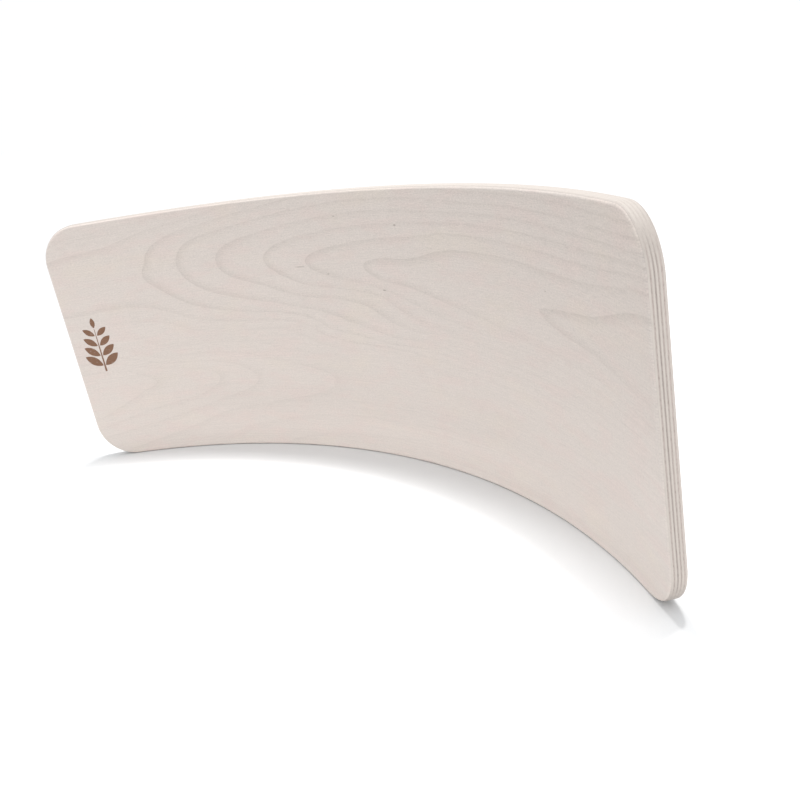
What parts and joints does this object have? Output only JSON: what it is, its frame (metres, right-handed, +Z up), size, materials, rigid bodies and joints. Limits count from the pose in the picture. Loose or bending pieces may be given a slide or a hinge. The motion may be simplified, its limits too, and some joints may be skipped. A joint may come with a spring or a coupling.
{
  "type": "balance board",
  "caption": "Curved plywood balance board: a rectangular sheet with rounded corners and rims, laminated from crossed wood veneers and bent into one round arc.",
  "frame": {"origin": "middle of the underside of the board's box, as the board stands on one long edge", "axes": "+X along the board's length, +Y through its depth from the hollow side to the rocking side, +Z up across its width"},
  "size_m": [0.8072, 0.1616, 0.3],
  "materials": {
    "veneer_01": "whitewashed beech face veneer with lengthwise grain, clear matt lacquer",
    "veneer_02": "pale cross-grain core veneer, sanded and lacquered at its edge",
    "veneer_03": "lengthwise core veneer, end grain darker where its short edge shows",
    "veneer_04": "pale cross-grain core veneer, sanded and lacquered at its edge",
    "veneer_05": "lengthwise core veneer, end grain darker where its short edge shows",
    "veneer_06": "pale cross-grain core veneer, sanded and lacquered at its edge",
    "veneer_07": "lengthwise core veneer, end grain darker where its short edge shows",
    "veneer_08": "pale cross-grain core veneer, sanded and lacquered at its edge",
    "veneer_09": "lengthwise core veneer, end grain darker where its short edge shows",
    "veneer_10": "pale cross-grain core veneer, sanded and lacquered at its edge",
    "veneer_11": "whitewashed beech face veneer with lengthwise grain, clear matt lacquer"
  },
  "bodies": {
    "root": {"ply_01_hollow_face": "veneer_01", "ply_02_cross": "veneer_02", "ply_03_lengthwise": "veneer_03", "ply_04_cross": "veneer_04", "ply_05_lengthwise": "veneer_05", "ply_06_cross": "veneer_06", "ply_07_lengthwise": "veneer_07", "ply_08_cross": "veneer_08", "ply_09_lengthwise": "veneer_09", "ply_10_cross": "veneer_10", "ply_11_rocker_face": "veneer_11"}
  },
  "joints": []
}
